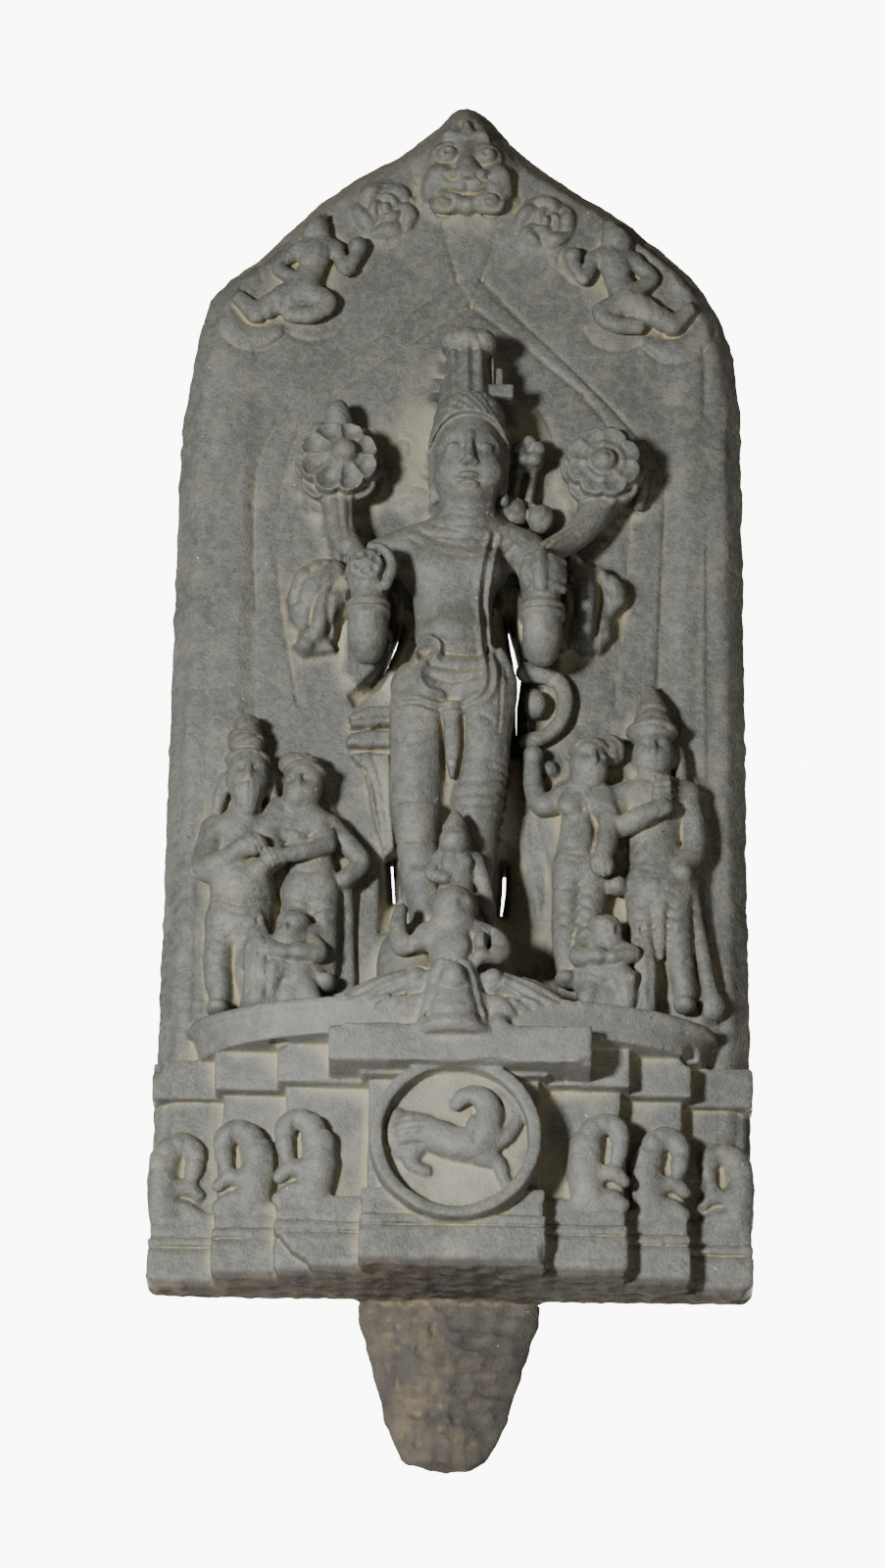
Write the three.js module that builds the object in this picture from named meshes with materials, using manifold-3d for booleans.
// Stele of a standing sun god, carved with its stepped plinth and its tenon from one block of dark stone.
// Millimetres, +Z up, the carved front faces -Y. The origin is in the middle of the root of the tenon, level
// with the underside of the plinth, the shoulder that bears on the socket stone.
import * as THREE from "three";
import { mergeVertices } from "three/addons/utils/BufferGeometryUtils.js";
import Module from "manifold-3d";

const wasm = await Module();
wasm.setup();

// Driving dimensions
const HALF_WIDTH = 165; // slab, across the back of its rough edges
const SLAB_TOP = 741; // tip of the arch above the setting-out line
const SETTING_OUT = 7; // the carving is set out from a line this far above the shoulder
const EDGE_DEPTH = 19; // thickness of the slab at its edges
const BACK_DEPTH = 36; // thickness of the slab where its back is dressed flat
const EDGE_SLOPE = 12; // how far the rough sides run back outwards from the front face
const PANEL_SINK = 2.5; // depth of the panel inside the plain border
const PLATE_TOP = 143; // upper face of the curved plate that the figures stand on
const TENON_LENGTH = 90;
const TENON_MIDDLE = 25; // from the plane of the border back to the middle of the tenon
const IN_SLAB = 3; // how far the carving runs back into the slab

// Solids from three.js geometry

function solid(geometry) {
  geometry.deleteAttribute("normal");
  geometry.deleteAttribute("uv");
  const merged = mergeVertices(geometry, 1e-3);
  const corners = merged.index.array;
  const triVerts = [];
  for (let i = 0; i < corners.length; i += 3) {
    const [a, b, c] = [corners[i], corners[i + 1], corners[i + 2]];
    if (a !== b && b !== c && c !== a) triVerts.push(a, b, c);
  }
  const mesh = new wasm.Mesh({
    numProp: 3,
    vertProperties: merged.attributes.position.array,
    triVerts: new Uint32Array(triVerts),
  });
  return new wasm.Manifold(mesh);
}

// An egg shape: centre, its three half-sizes, and how finely it is faceted.
function ball(centre, half, detail = 1) {
  const g = new THREE.IcosahedronGeometry(1, detail);
  return solid(g.scale(...half).translate(...centre));
}

const pebble = (centre, half) => ball(centre, half, 0);

// A turned shape: its profile of [radius, distance] runs from start towards end and closes on the axis.
function turned(start, end, profile, sides) {
  const from = new THREE.Vector3(...start);
  const along = new THREE.Vector3(...end).sub(from).normalize();
  const g = new THREE.LatheGeometry(profile.map(([r, d]) => new THREE.Vector2(r, d)), sides);
  g.applyQuaternion(new THREE.Quaternion().setFromUnitVectors(new THREE.Vector3(0, 1, 0), along));
  return solid(g.translate(...start));
}

const fan = (count) => Array.from({ length: count - 2 }, (_, i) => [0, i + 1, i + 2]);

// A closed shape through rings of points that match one another, with both end rings capped.
function loft(rings, caps = fan(rings[0].length)) {
  const count = rings[0].length;
  const last = (rings.length - 1) * count;
  const faces = caps.flatMap(([a, b, c]) => [c, b, a, last + a, last + b, last + c]);
  for (let start = 0; start < last; start += count) {
    for (let i = 0; i < count; i++) {
      const [a, b] = [start + i, start + ((i + 1) % count)];
      faces.push(a, b, b + count, a, b + count, a + count);
    }
  }
  const g = new THREE.BufferGeometry();
  g.setAttribute("position", new THREE.Float32BufferAttribute(rings.flat(2), 3));
  g.setIndex(faces);
  const made = solid(g);
  if (made.volume() > 0) return made;
  g.setIndex(faces.reverse());
  return solid(g);
}

// Triangles that fill an outline of [x, z] points, all turning the same way as the outline itself.
function fill(outline) {
  const shape = outline.map(([x, z]) => new THREE.Vector2(x, z));
  const clockwise = THREE.ShapeUtils.isClockWise(shape);
  return THREE.ShapeUtils.triangulateShape(shape, []).map(([a, b, c]) => (
    THREE.ShapeUtils.isClockWise([shape[a], shape[b], shape[c]]) === clockwise ? [a, b, c] : [c, b, a]
  ));
}

// A flat piece of relief with sloping sides: its outline in X and Z, its back and its front in Y.
function relief(outline, front, slope = 0.9, back = IN_SLAB) {
  const middle = [0, 1].map((k) => outline.reduce((sum, p) => sum + p[k], 0) / outline.length);
  const ring = (share, y) => outline.map(([x, z]) => [
    middle[0] + (x - middle[0]) * share,
    y,
    middle[1] + (z - middle[1]) * share,
  ]);
  return loft([ring(1, back), ring(slope, front)], fill(outline));
}

// Cross-sections of carved limbs: how far across in half-widths, and how far behind the crest. The first and
// last points run back into the slab.
const CRESTED = [[-1, null], [-1, 0.8], [0, 0], [1, 0.8], [1, null]];
const ROUNDED = [[-1, null], [-1, 0.8], [-0.5, 0.05], [0.5, 0.05], [1, 0.8], [1, null]];

// A limb carved in relief along a path of [x, z, front, half-width].
function ridge(path, section = CRESTED, back = IN_SLAB) {
  return loft(path.map(([x, z, front, half], i) => {
    const before = path[Math.max(0, i - 1)];
    const after = path[Math.min(path.length - 1, i + 1)];
    const [dx, dz] = [after[0] - before[0], after[1] - before[1]];
    const length = Math.hypot(dx, dz);
    return section.map(([across, deep]) => [
      x + (dz / length) * half * across,
      deep === null ? back : Math.min(front + deep * half, back - 1),
      z - (dx / length) * half * across,
    ]);
  }));
}

// A rounded boss: its middle and half-sizes in X and Z, and its front.
function boss([x, z], [halfX, halfZ], front, sides = 7, back = IN_SLAB) {
  const round = 0.5 * Math.min(halfX, halfZ);
  const ring = (share, y) => Array.from({ length: sides }, (_, i) => {
    const angle = ((i + 0.25) / sides) * 2 * Math.PI;
    return [x + halfX * share * Math.cos(angle), y, z + halfZ * share * Math.sin(angle)];
  });
  return loft([ring(1, back), ring(1, front + round), ring(0.55, front)]);
}

function block(x0, x1, y0, y1, z0, z1) {
  const g = new THREE.BoxGeometry(x1 - x0, y1 - y0, z1 - z0);
  return solid(g.translate((x0 + x1) / 2, (y0 + y1) / 2, (z0 + z1) / 2));
}

const join = (solids) => solids.flat(Infinity).reduce((whole, next) => whole.add(next));
const mirrored = (points) => [...points, ...points.slice(0, -1).reverse().map(([x, z]) => [-x, z])];

// The slab: a tall panel with a pointed arch, rough sloping sides and a back that swells to a flat

// Right half of the outline at the back of the edges, from the foot to the tip.
const HALF_OUTLINE = [
  [HALF_WIDTH, -SETTING_OUT],
  [HALF_WIDTH - 1, 300],
  [HALF_WIDTH - 3, 500],
  [HALF_WIDTH - 8, 572],
  [HALF_WIDTH - 19, 611],
  [120, 643],
  [92, 669],
  [60, 691],
  [33, 712],
  [15, 730],
  [0, SLAB_TOP],
];

function slab() {
  const outline = mirrored(HALF_OUTLINE);
  const ring = (amount, drop, y) => outline.map(([x, z]) => {
    const rise = Math.max(0, z) / SLAB_TOP;
    return [x * (1 - amount / HALF_WIDTH), y, z - drop * rise ** 6];
  });
  const rings = [ring(EDGE_SLOPE, 5, 0), ring(0, 0, EDGE_DEPTH - 6), ring(2, 1, EDGE_DEPTH), ring(70, 60, BACK_DEPTH)];
  const panel = mirrored([[121, 130], [122, 480], [121, 574], [96, 590], [62, 622], [0, 652]]);
  return loft(rings, fill(outline)).subtract(relief(panel, -5, 1, PANEL_SINK));
}

// Gaps pierced through the slab beside the god's body and legs.
const PIERCINGS = [
  [[-37, 436], [-28, 420], [-27, 388], [-34, 368], [-44, 352], [-60, 340], [-62, 349], [-48, 364], [-40, 382]],
  [[17, 428], [32, 416], [34, 384], [42, 362], [36, 346], [33, 300], [36, 250], [34, 200], [24, 196], [26, 345]],
  [[-43, 254], [-30, 252], [-29, 204], [-43, 204]],
];

function throneBack() {
  const outer = mirrored([[119.6, 140], [119.6, 492], [90, 534], [48, 577], [2, 617]]);
  const inner = mirrored([[86.6, 140], [88, 332], [98, 440], [92, 500], [74, 536], [48, 560], [2, 598]]);
  const halo = Array.from({ length: 14 }, (_, i) => [
    4 + 49 * Math.cos((i / 7) * Math.PI),
    503 + 47 * Math.sin((i / 7) * Math.PI),
  ]);
  return [
    relief(outer, PANEL_SINK - 1.2, 1, 6),
    relief(inner, PANEL_SINK - 2.6, 1, 6),
    relief(halo, -2, 0.97, 6),
    relief([[-10, 654], [17, 652], [9, 610], [5, 610]], -3, 0.9, 6),
  ];
}

// The plinth: seven facets in plan, in three tiers under a curved plate

// Half-width and front plane of each facet, from the outermost to the middle one.
const FACETS = [[163, -4], [128, -20], [94, -34], [49.5, -48]];

// One horizontal layer of the plinth, which may stand forward of the facets or behind them.
function tier(low, high, forward = 0) {
  const right = FACETS.flatMap(([half, front], i) => {
    const next = i + 1 < FACETS.length ? FACETS[i + 1][1] : null;
    const corner = [half + forward / 2, front - forward];
    return next === null ? [corner] : [corner, [FACETS[i + 1][0] + forward / 2, front - forward]];
  });
  const plan = [[right[0][0], 12], ...right, ...right.map(([x, y]) => [-x, y]).reverse(), [-right[0][0], 12]];
  return loft([plan.map(([x, y]) => [x, y, low]), plan.map(([x, y]) => [x, y, high])], fill(plan));
}

function plinth() {
  const steps = 14;
  const plate = Array.from({ length: steps + 1 }, (_, i) => {
    const angle = (i / steps) * Math.PI;
    return [145 * Math.cos(angle), -2 - 62 * Math.sin(angle) ** 0.8];
  });
  const ring = (z, share) => plate.map(([x, y]) => [x * share, y * share, z]);
  return [
    tier(-SETTING_OUT, 16),
    tier(15, 20, -4),
    tier(19, 36, -1),
    tier(35, 103, -8),
    tier(102, 124, 2),
    block(-68, 75, -66, 0, 103, 125),
    loft([ring(122, 0.97), ring(136, 1), ring(PLATE_TOP, 0.97)], fill(plate)),
  ];
}

function tenon() {
  const sides = 10;
  const ring = (z, half, front, back) => Array.from({ length: sides }, (_, i) => {
    const angle = (i / sides) * 2 * Math.PI;
    const y = (front + back) / 2 + ((back - front) / 2) * Math.sin(angle);
    return [half * Math.cos(angle) - (SETTING_OUT - z) * 0.02, y, z];
  });
  const foot = -SETTING_OUT - TENON_LENGTH;
  return loft([ring(foot, 20, 13, 37), ring(-45, 39, 8, 42), ring(-SETTING_OUT + 4, 51, 6, 44)]);
}

// The wheel on the middle of the plinth, with a horse running inside it

const WHEEL = [1.5, 64];

function wheel() {
  const [outer, inner] = [45.5, 38.5];
  const profile = [[0, 0], [outer, 0], [outer, 14], [outer - 2, 16], [inner, 16], [inner, 8], [0, 8]];
  const part = (path) => ridge(path.map(([x, z, front, half]) => [WHEEL[0] + x, WHEEL[1] + z, front, half]),
    CRESTED, -45);
  return [
    turned([WHEEL[0], -42.6, WHEEL[1]], [WHEEL[0], -60, WHEEL[1]], profile, 18),
    part([[-31, -4, -50, 5], [-27, 6, -54, 8], [-24, 17, -50, 5]]),
    part([[-26, 12, -52, 5], [-10, 2, -55, 8], [6, -4, -56, 9], [18, -2, -54, 8]]),
    part([[14, -2, -56, 8], [21, 12, -56, 6], [15, 25, -56, 6], [6, 20, -55, 3]]),
    part([[16, -4, -52, 4.5], [27, 2, -53, 4], [35, 9, -50, 3]]),
    part([[13, -8, -52, 4], [24, -11, -52, 3.5], [29, -21, -50, 3]]),
  ];
}

// A rearing horse that looks outwards; side is -1 on the left and 1 on the right.
function horse(side, middle, front, tall) {
  const part = (path) => ridge(path.map(([x, z, out, half]) => [
    side * (middle + x),
    38 + z * tall,
    front + 8 - out,
    half,
  ]), CRESTED, front + 9);
  return [
    part([[-12, 2, 10, 6], [-9, 16, 15, 9], [-9, 32, 14, 6.5], [-1, 44, 14, 6], [9, 28, 12, 4]]),
    part([[-6, 14, 14, 4], [8, 13, 16, 3.5], [11, 1, 12, 3]]),
  ];
}

const HORSES = [[148, 0, 1.0], [112, -15, 1.05], [78, -29, 1.12]];

// The sun god

const HEAD = [4, -36, 470];

function godHead() {
  const [x, y, z] = HEAD;
  const crown = [[0, 0], [17, 0], [14, 9], [11.5, 32], [14, 42], [9, 54], [0, 58]];
  const band = [[0, 0], [22.5, 0], [23.5, 5], [20, 13], [0, 13]];
  return [
    ball([x, y, z], [20, 20, 24]),
    ridge([[x, z + 2, y - 17, 13], [x, z - 12, y - 18, 12], [x, z - 20, y - 13, 9]], ROUNDED, y),
    ridge([[x, z + 6, y - 18, 2.5], [x, z - 6, y - 24, 4]], CRESTED, y),
    turned([x, y + 1, z + 14], [x, y + 1, z + 30], band, 9),
    turned([x + 1, y + 6, z + 26], [x + 1, y + 6, z + 60], crown, 8),
    boss([x, z + 30], [26, 12], y, 8),
    ridge([[x - 1, z + 10, -22, 20], [x - 2, z - 14, -20, 12], [x - 2, z - 36, -20, 14]], ROUNDED),
    ridge([[x - 22, z + 4, y + 2, 4], [x - 23, z - 20, y + 6, 4]], CRESTED, -14),
    ridge([[x + 22, z + 4, y + 2, 4], [x + 23, z - 20, y + 6, 4]], CRESTED, -14),
    boss([x + 34, z + 12], [8, 9], -32, 8),
    ridge([[x + 33, z + 4, -26, 3], [x + 28, z - 14, -26, 6], [x + 30, z - 26, -26, 9]]),
    ridge([[x - 27, z - 6, -22, 5], [x - 30, z - 24, -24, 8]]),
  ];
}

function godBody() {
  const torso = [
    [-4, 443, -26, 22],
    [-4, 431, -34, 36],
    [-3, 412, -40, 29],
    [-4, 392, -40, 24],
    [-4, 374, -42, 21],
    [-4, 358, -43, 27],
    [-3, 338, -42, 36],
    [-3, 322, -38, 35],
  ];
  const garland = [[15, 418, -40, 3], [10, 376, -46, 3], [18, 340, -46, 3], [0, 324, -46, 3],
    [-24, 323, -44, 3], [-38, 330, -36, 3]];
  return [
    ridge(torso, ROUNDED),
    ridge([[-30, 363, -40, 6], [-16, 360, -48, 7], [4, 360, -47, 6], [23, 362, -38, 6]], CRESTED, -9),
    ridge(garland, CRESTED, -7),
    ridge([[-4, 322, -43, 7], [-4, 284, -40, 4]], CRESTED, -14),
  ];
}

// Tucked dress, high boots, and the lengths of cloth beside the hips.
function godLegs() {
  const legs = [[-22, -21, -18], [14, 13, 10]];
  return [
    legs.map(([hip, knee, foot]) => [
      ridge([[hip, 330, -38, 17], [hip, 296, -39, 17], [knee, 270, -38, 16]], ROUNDED),
      ridge([[knee, 272, -36, 14], [knee, 258, -35, 13], [(knee + foot) / 2, 228, -36, 13], [foot, 188, -36, 11]],
        ROUNDED),
      ridge([[foot, 192, -38, 10], [foot, 176, -44, 11], [foot, 160, -52, 12]], CRESTED),
    ]),
    ridge([[-34, 331, -22, 6], [-61, 328, -10, 3]]),
    ridge([[-34, 316, -22, 6], [-59, 315, -10, 3]]),
    ridge([[-50, 312, -9, 5], [-47, 282, -9, 4], [-41, 256, -10, 5]]),
    ridge([[30, 378, -26, 5], [33, 345, -28, 7], [33, 318, -26, 5]]),
    ridge([[50, 362, -8, 5], [61, 347, -11, 4], [60, 330, -11, 4], [50, 318, -10, 5], [34, 313, -12, 5]]),
    boss([43, 339], [6, 6], -9, 7),
  ];
}

// Both forearms are raised and hold lotus stalks; side is -1 for the left of the view.
const ARMS = [
  { side: -1, shoulder: [-37, 430], elbow: [-52, 350], fist: [-52, 402] },
  { side: 1, shoulder: [34, 432], elbow: [46, 350], fist: [46, 402] },
];

function arm({ side, shoulder, elbow, fist }) {
  return [
    ridge([[shoulder[0], shoulder[1] + 6, -28, 8], [...shoulder, -30, 11], [elbow[0], elbow[1] + 30, -30, 9],
      [...elbow, -34, 8]], ROUNDED),
    ridge([[...elbow, -44, 9], [elbow[0], elbow[1] + 12, -50, 11], [fist[0], fist[1] - 22, -54, 10]], ROUNDED, -8),
    ridge([[fist[0], fist[1] - 28, -56, 12], [fist[0], fist[1] - 21, -56, 12]], ROUNDED, -8),
    ridge([[fist[0], fist[1] - 18, -54, 9], [...fist, -59, 13.5], [fist[0], fist[1] + 13, -52, 9]], ROUNDED, 0),
    ridge([[fist[0] - side * 9, fist[1] - 6, -62, 4], [fist[0] - side * 8, fist[1] + 10, -60, 4]], CRESTED, -40),
  ];
}

function lotus([x, z], side, fist, bud) {
  const petals = Array.from({ length: 8 }, (_, i) => {
    const angle = ((i + 0.5) / 8) * 2 * Math.PI;
    const [dx, dz] = [Math.cos(angle), Math.sin(angle)];
    return ridge([[x + 10 * dx, z + 10 * dz, -46, 6], [x + 21 * dx, z + 21 * dz, -43, 3.5]], CRESTED, -37.5);
  });
  const cup = [[0, 0], [11, 0], [14, 20], [24, 33], [24, 38], [20, 42], [0, 42]];
  const bend = [x - side * 3, z - 56];
  return [
    turned([x, 2, z], [x, -40, z], cup, 11),
    petals,
    boss([x, z], [7.5, 7.5], -51, 8, -36),
    ridge([[fist[0], fist[1] + 8, -44, 6], [(fist[0] + bend[0]) / 2, bend[1] + 2, -38, 8], [...bend, -34, 9],
      [x + side * 3, z - 40, -34, 9], [x, z - 16, -34, 10]]),
    ridge([[bud[0], bud[1] - 22, -32, 10], [bud[0], bud[1] - 8, -36, 4], [bud[0], bud[1], -40, 8],
      [bud[0], bud[1] + 10, -34, 2]]),
  ];
}

// Shawl ends that hang outside the forearms.
const SHAWLS = [
  [[-58, 420], [-66, 428], [-80, 427], [-92, 417], [-99, 402], [-97, 384], [-90, 380], [-92, 366], [-84, 360],
    [-68, 361], [-63, 376], [-60, 400]],
  [[58, 424], [72, 430], [86, 424], [96, 412], [92, 400], [86, 394], [86, 376], [80, 364], [68, 362], [60, 368],
    [62, 384], [60, 404]],
];

// The attendants

// A standing attendant. Its pose gives each joint in X and Z, and the arms also their front and half-width.
function attendant({ head, shoulders, waist, hips, feet, arms, girth, hair }) {
  const chest = [(shoulders[0][0] + shoulders[1][0]) / 2, (shoulders[0][1] + shoulders[1][1]) / 2];
  const hip = [(hips[0][0] + hips[1][0]) / 2, (hips[0][1] + hips[1][1]) / 2];
  const half = (shoulders[1][0] - shoulders[0][0]) / 2;
  return [
    boss(head, [11.5, 15], -28, 8),
    ridge([[(head[0] + chest[0]) / 2, chest[1] + 8, -20, 8], [...chest, -24, half + 5],
      [waist[0], (chest[1] + waist[1]) / 2, -26, 13], [waist[0], waist[1] - 6, -26 - 3 * girth, 12 * girth],
      [...hip, -26, 16], [hip[0], hip[1] - 10, -24, 15]], ROUNDED),
    hips.map(([x, z], i) => ridge([[x, z, -24, 8], [(x + feet[i][0]) / 2, (z + feet[i][1]) / 2, -23, 7.5],
      [feet[i][0], feet[i][1] + 8, -20, 6], [feet[i][0], feet[i][1] - 5, -28, 7]])),
    arms.map((path) => ridge(path)),
    hair,
  ];
}

const BEARDED_SCRIBE = {
  head: [-116, 287],
  shoulders: [[-132, 256], [-105, 257]],
  waist: [-114, 226],
  hips: [[-126, 202], [-110, 202]],
  feet: [[-128, 152], [-109, 154]],
  girth: 1.3,
  arms: [
    [[-134, 258, -20, 6], [-139, 232, -28, 6], [-113, 240, -35, 5]],
    [[-104, 258, -20, 6], [-98, 237, -28, 5.5], [-110, 238, -36, 4.5]],
  ],
  hair: [boss([-118, 315], [10.5, 13], -24), ridge([[-130, 299, -20, 5], [-116, 300, -30, 5], [-103, 299, -20, 5]])],
};

const LEFT_LADY = {
  head: [-86, 281],
  shoulders: [[-94, 258], [-73, 259]],
  waist: [-80, 240],
  hips: [[-85, 222], [-72, 222]],
  feet: [[-84, 156], [-70, 167]],
  girth: 0.9,
  arms: [
    [[-70, 260, -18, 5.5], [-53, 238, -20, 5], [-60, 230, -24, 5.5]],
    [[-93, 258, -20, 5], [-92, 244, -28, 5], [-106, 238, -34, 4.5]],
  ],
  hair: [boss([-89, 296], [11, 8], -22)],
};

const SWORD_BEARER = {
  head: [111, 306],
  shoulders: [[92, 282], [129, 282]],
  waist: [108, 248],
  hips: [[104, 226], [121, 226]],
  feet: [[104, 158], [125, 155]],
  girth: 1.05,
  arms: [
    [[91, 282, -20, 6], [86, 261, -28, 6], [110, 274, -35, 5.5]],
    [[131, 282, -18, 6], [135, 246, -20, 5.5], [124, 232, -26, 6]],
  ],
  hair: [ridge([[96, 320, -20, 5], [110, 322, -30, 5], [125, 320, -20, 5]]),
    ridge([[110, 320, -22, 9], [110, 345, -12, 4]]), ridge([[126, 304, -14, 4], [126, 290, -18, 5]])],
};

const RIGHT_LADY = {
  head: [76, 299],
  shoulders: [[60, 280], [81, 281]],
  waist: [68, 254],
  hips: [[63, 235], [76, 235]],
  feet: [[62, 168], [73, 164]],
  girth: 0.85,
  arms: [
    [[58, 281, -18, 5], [46, 276, -18, 5], [41, 302, -16, 4.5]],
    [[83, 280, -20, 5], [85, 257, -28, 5], [79, 236, -32, 4.5]],
  ],
  hair: [boss([87, 310], [8, 9], -20), boss([77, 309], [11, 7], -24)],
};

// A kneeling archer in front of two attendants; side is -1 on the left and 1 on the right.
function archer(side, [x, z]) {
  const part = (path) => ridge(path.map(([dx, dz, front, half]) => [x + side * dx, z + dz, front, half]));
  return [
    boss([x, z + 18], [7, 8], -34, 7),
    part([[0, 11, -29, 8], [-2, 0, -34, 9], [-2, -10, -32, 9]]),
    part([[-8, 7, -28, 4], [4, 0, -36, 4], [14, -1, -32, 3.5]]),
    part([[-2, -7, -30, 6], [8, -14, -36, 5], [8, -30, -34, 5]]),
    part([[-4, -7, -30, 6], [-14, -18, -34, 5.5], [-8, -30, -32, 6]]),
  ];
}

function attributes() {
  return [
    ridge([[-61, 230, -10, 4], [-59, 142, -10, 4]]),
    ridge([[-108, 200, -26, 3], [-107, 176, -30, 7], [-107, 142, -30, 6]]),
    ridge([[127, 232, -20, 3.5], [139, 170, -14, 4]]),
    boss([141, 158], [7, 8], -16, 7),
    ridge([[102, 200, -22, 2], [103, 176, -24, 6], [104, 142, -24, 5]]),
  ];
}

// The driver and the lotus in the middle

function driver() {
  return [
    boss([-1, 243], [7.5, 9], -52, 7),
    ridge([[1, 236, -46, 9], [-1, 222, -50, 8], [-1, 204, -46, 13]]),
    ridge([[-9, 232, -48, 3.5], [-12, 221, -52, 3.5], [-3, 216, -56, 3]]),
    ridge([[8, 232, -48, 3.5], [13, 218, -46, 3.5], [15, 200, -44, 4]]),
    boss([-1, 195], [11, 11], -70, 8),
    ridge([[-1, 188, -66, 12], [-1, 172, -70, 13], [-1, 156, -68, 12]], ROUNDED),
    ridge([[-8, 184, -66, 6], [-22, 178, -66, 6], [-30, 180, -66, 6], [-31, 194, -62, 5]], CRESTED, -24),
    boss([15, 173], [10, 9], -70, 8),
    turned([0, -62, 113], [0, -62, 150], [[0, 0], [16, 0], [17.5, 3], [12, 16], [9, 28], [7, 42], [0, 44]], 9),
    boss([21, 130], [5, 9], -66, 6, -40),
  ];
}

function lotusBase() {
  const count = 8;
  const petals = Array.from({ length: count }, (_, i) => {
    const angle = Math.PI * (0.08 + (0.84 * i) / (count - 1));
    return pebble([-2 + 52 * Math.cos(angle), -20 - 42 * Math.sin(angle), 146.5], [13, 8, 9]);
  });
  const cup = [[0, 0], [45, 0], [49, 6], [43, 16], [0, 16]];
  const bowl = new THREE.LatheGeometry(cup.map(([r, d]) => new THREE.Vector2(r, d)), 10);
  return [solid(bowl.rotateX(Math.PI / 2).scale(1, 0.8, 1).translate(-2, -22, 141)), petals];
}

// Carving round the arch

function flyer(side, lift) {
  const part = (path, section) => ridge(path.map(([x, z, front, half]) => [side * x, z + lift, front, half]), section);
  return [
    boss([side * 88, 642 + lift], [9.5, 11], -20, 8),
    part([[88, 632, -13, 8], [87, 618, -18, 10], [92, 600, -18, 10], [112, 589, -15, 8], [124, 582, -12, 6],
      [133, 602, -9, 4]], ROUNDED),
    part([[79, 628, -15, 4.5], [71, 612, -18, 4.5], [65, 626, -16, 5.5]]),
    part([[97, 627, -12, 4], [107, 621, -10, 3.5]]),
    part([[90, 593, -18, 7], [110, 596, -14, 5]]),
    part([[100, 578, -7, 4], [118, 568, -7, 4], [134, 571, -7, 4], [141, 584, -6, 3]]),
  ];
}

function rosette([x, z], radius) {
  const petals = Array.from({ length: 6 }, (_, i) => {
    const angle = (i / 6) * 2 * Math.PI;
    const at = (reach) => [x + reach * radius * Math.cos(angle), z + reach * radius * Math.sin(angle)];
    return ridge([[...at(0.3), -8, radius * 0.3], [...at(0.98), -9, radius * 0.34]]);
  });
  return [petals, boss([x, z], [radius * 0.42, radius * 0.42], -13, 8)];
}

function lionMask() {
  const face = [[-28, 706], [-26, 664], [-16, 654], [14, 652], [25, 662], [27, 700], [12, 722], [0, 735], [-13, 720]];
  return [
    relief(face, -6, 0.85),
    boss([-13.5, 695], [8.5, 8.5], -14),
    boss([12.5, 693], [8.5, 8.5], -14),
    ridge([[1, 710, -10, 4], [1, 684, -13, 5], [2, 673, -16, 9]]),
    boss([-13, 665], [10, 8], -14),
    boss([12, 662], [9, 8], -14),
    ridge([[-12, 708, -10, 3], [-24, 706, -6, 3]]),
    ridge([[12, 707, -10, 3], [24, 703, -6, 3]]),
  ];
}

// One block of stone

const pierced = PIERCINGS.reduce(
  (stone, outline) => stone.subtract(relief(outline, -8, 1, 60)),
  join([slab(), throneBack()]),
);
const carved = join([
  pierced,
  plinth(),
  tenon(),
  wheel(),
  HORSES.map((place) => [horse(-1, ...place), horse(1, ...place)]),
  godHead(),
  godBody(),
  godLegs(),
  ARMS.map(arm),
  lotus([-70, 481], -1, ARMS[0].fist, [-72, 516]),
  lotus([80, 480], 1, ARMS[1].fist, [84, 509]),
  SHAWLS.map((outline) => relief(outline, -17, 0.85)),
  [BEARDED_SCRIBE, LEFT_LADY, SWORD_BEARER, RIGHT_LADY].map(attendant),
  archer(-1, [-87.4, 180]),
  archer(1, [80.3, 180]),
  attributes(),
  driver(),
  lotusBase(),
  flyer(-1, 4),
  flyer(1, 0),
  rosette([-47, 660], 19),
  rosette([47, 653], 17.5),
  lionMask(),
]);

// The stone has one skin: pockets that the shapes shut in between them are solid stone.
function outerSkin({ numProp, vertProperties, triVerts }) {
  const root = Uint32Array.from({ length: vertProperties.length / numProp }, (_, i) => i);
  const find = (i) => {
    while (root[i] !== i) i = root[i] = root[root[i]];
    return i;
  };
  for (let t = 0; t < triVerts.length; t += 3) {
    root[find(triVerts[t + 1])] = find(triVerts[t]);
    root[find(triVerts[t + 2])] = find(triVerts[t]);
  }
  const sizes = new Map();
  for (const corner of triVerts) sizes.set(find(corner), (sizes.get(find(corner)) ?? 0) + 1);
  const largest = [...sizes].sort((a, b) => b[1] - a[1])[0][0];
  const geometry = new THREE.BufferGeometry();
  geometry.setAttribute("position", new THREE.BufferAttribute(vertProperties, numProp));
  geometry.setIndex([...triVerts].filter((corner) => find(corner) === largest));
  return mergeVertices(geometry, 1e-4);
}

const geometry = outerSkin(carved.getMesh());
geometry.computeVertexNormals();
const stele = new THREE.Mesh(geometry, new THREE.MeshStandardMaterial({ color: 0x5b5c58, roughness: 0.7 }));
stele.name = "surya_stele";
stele.position.set(0, -TENON_MIDDLE, SETTING_OUT);

const part = new THREE.Group();
part.add(stele);
export default part;
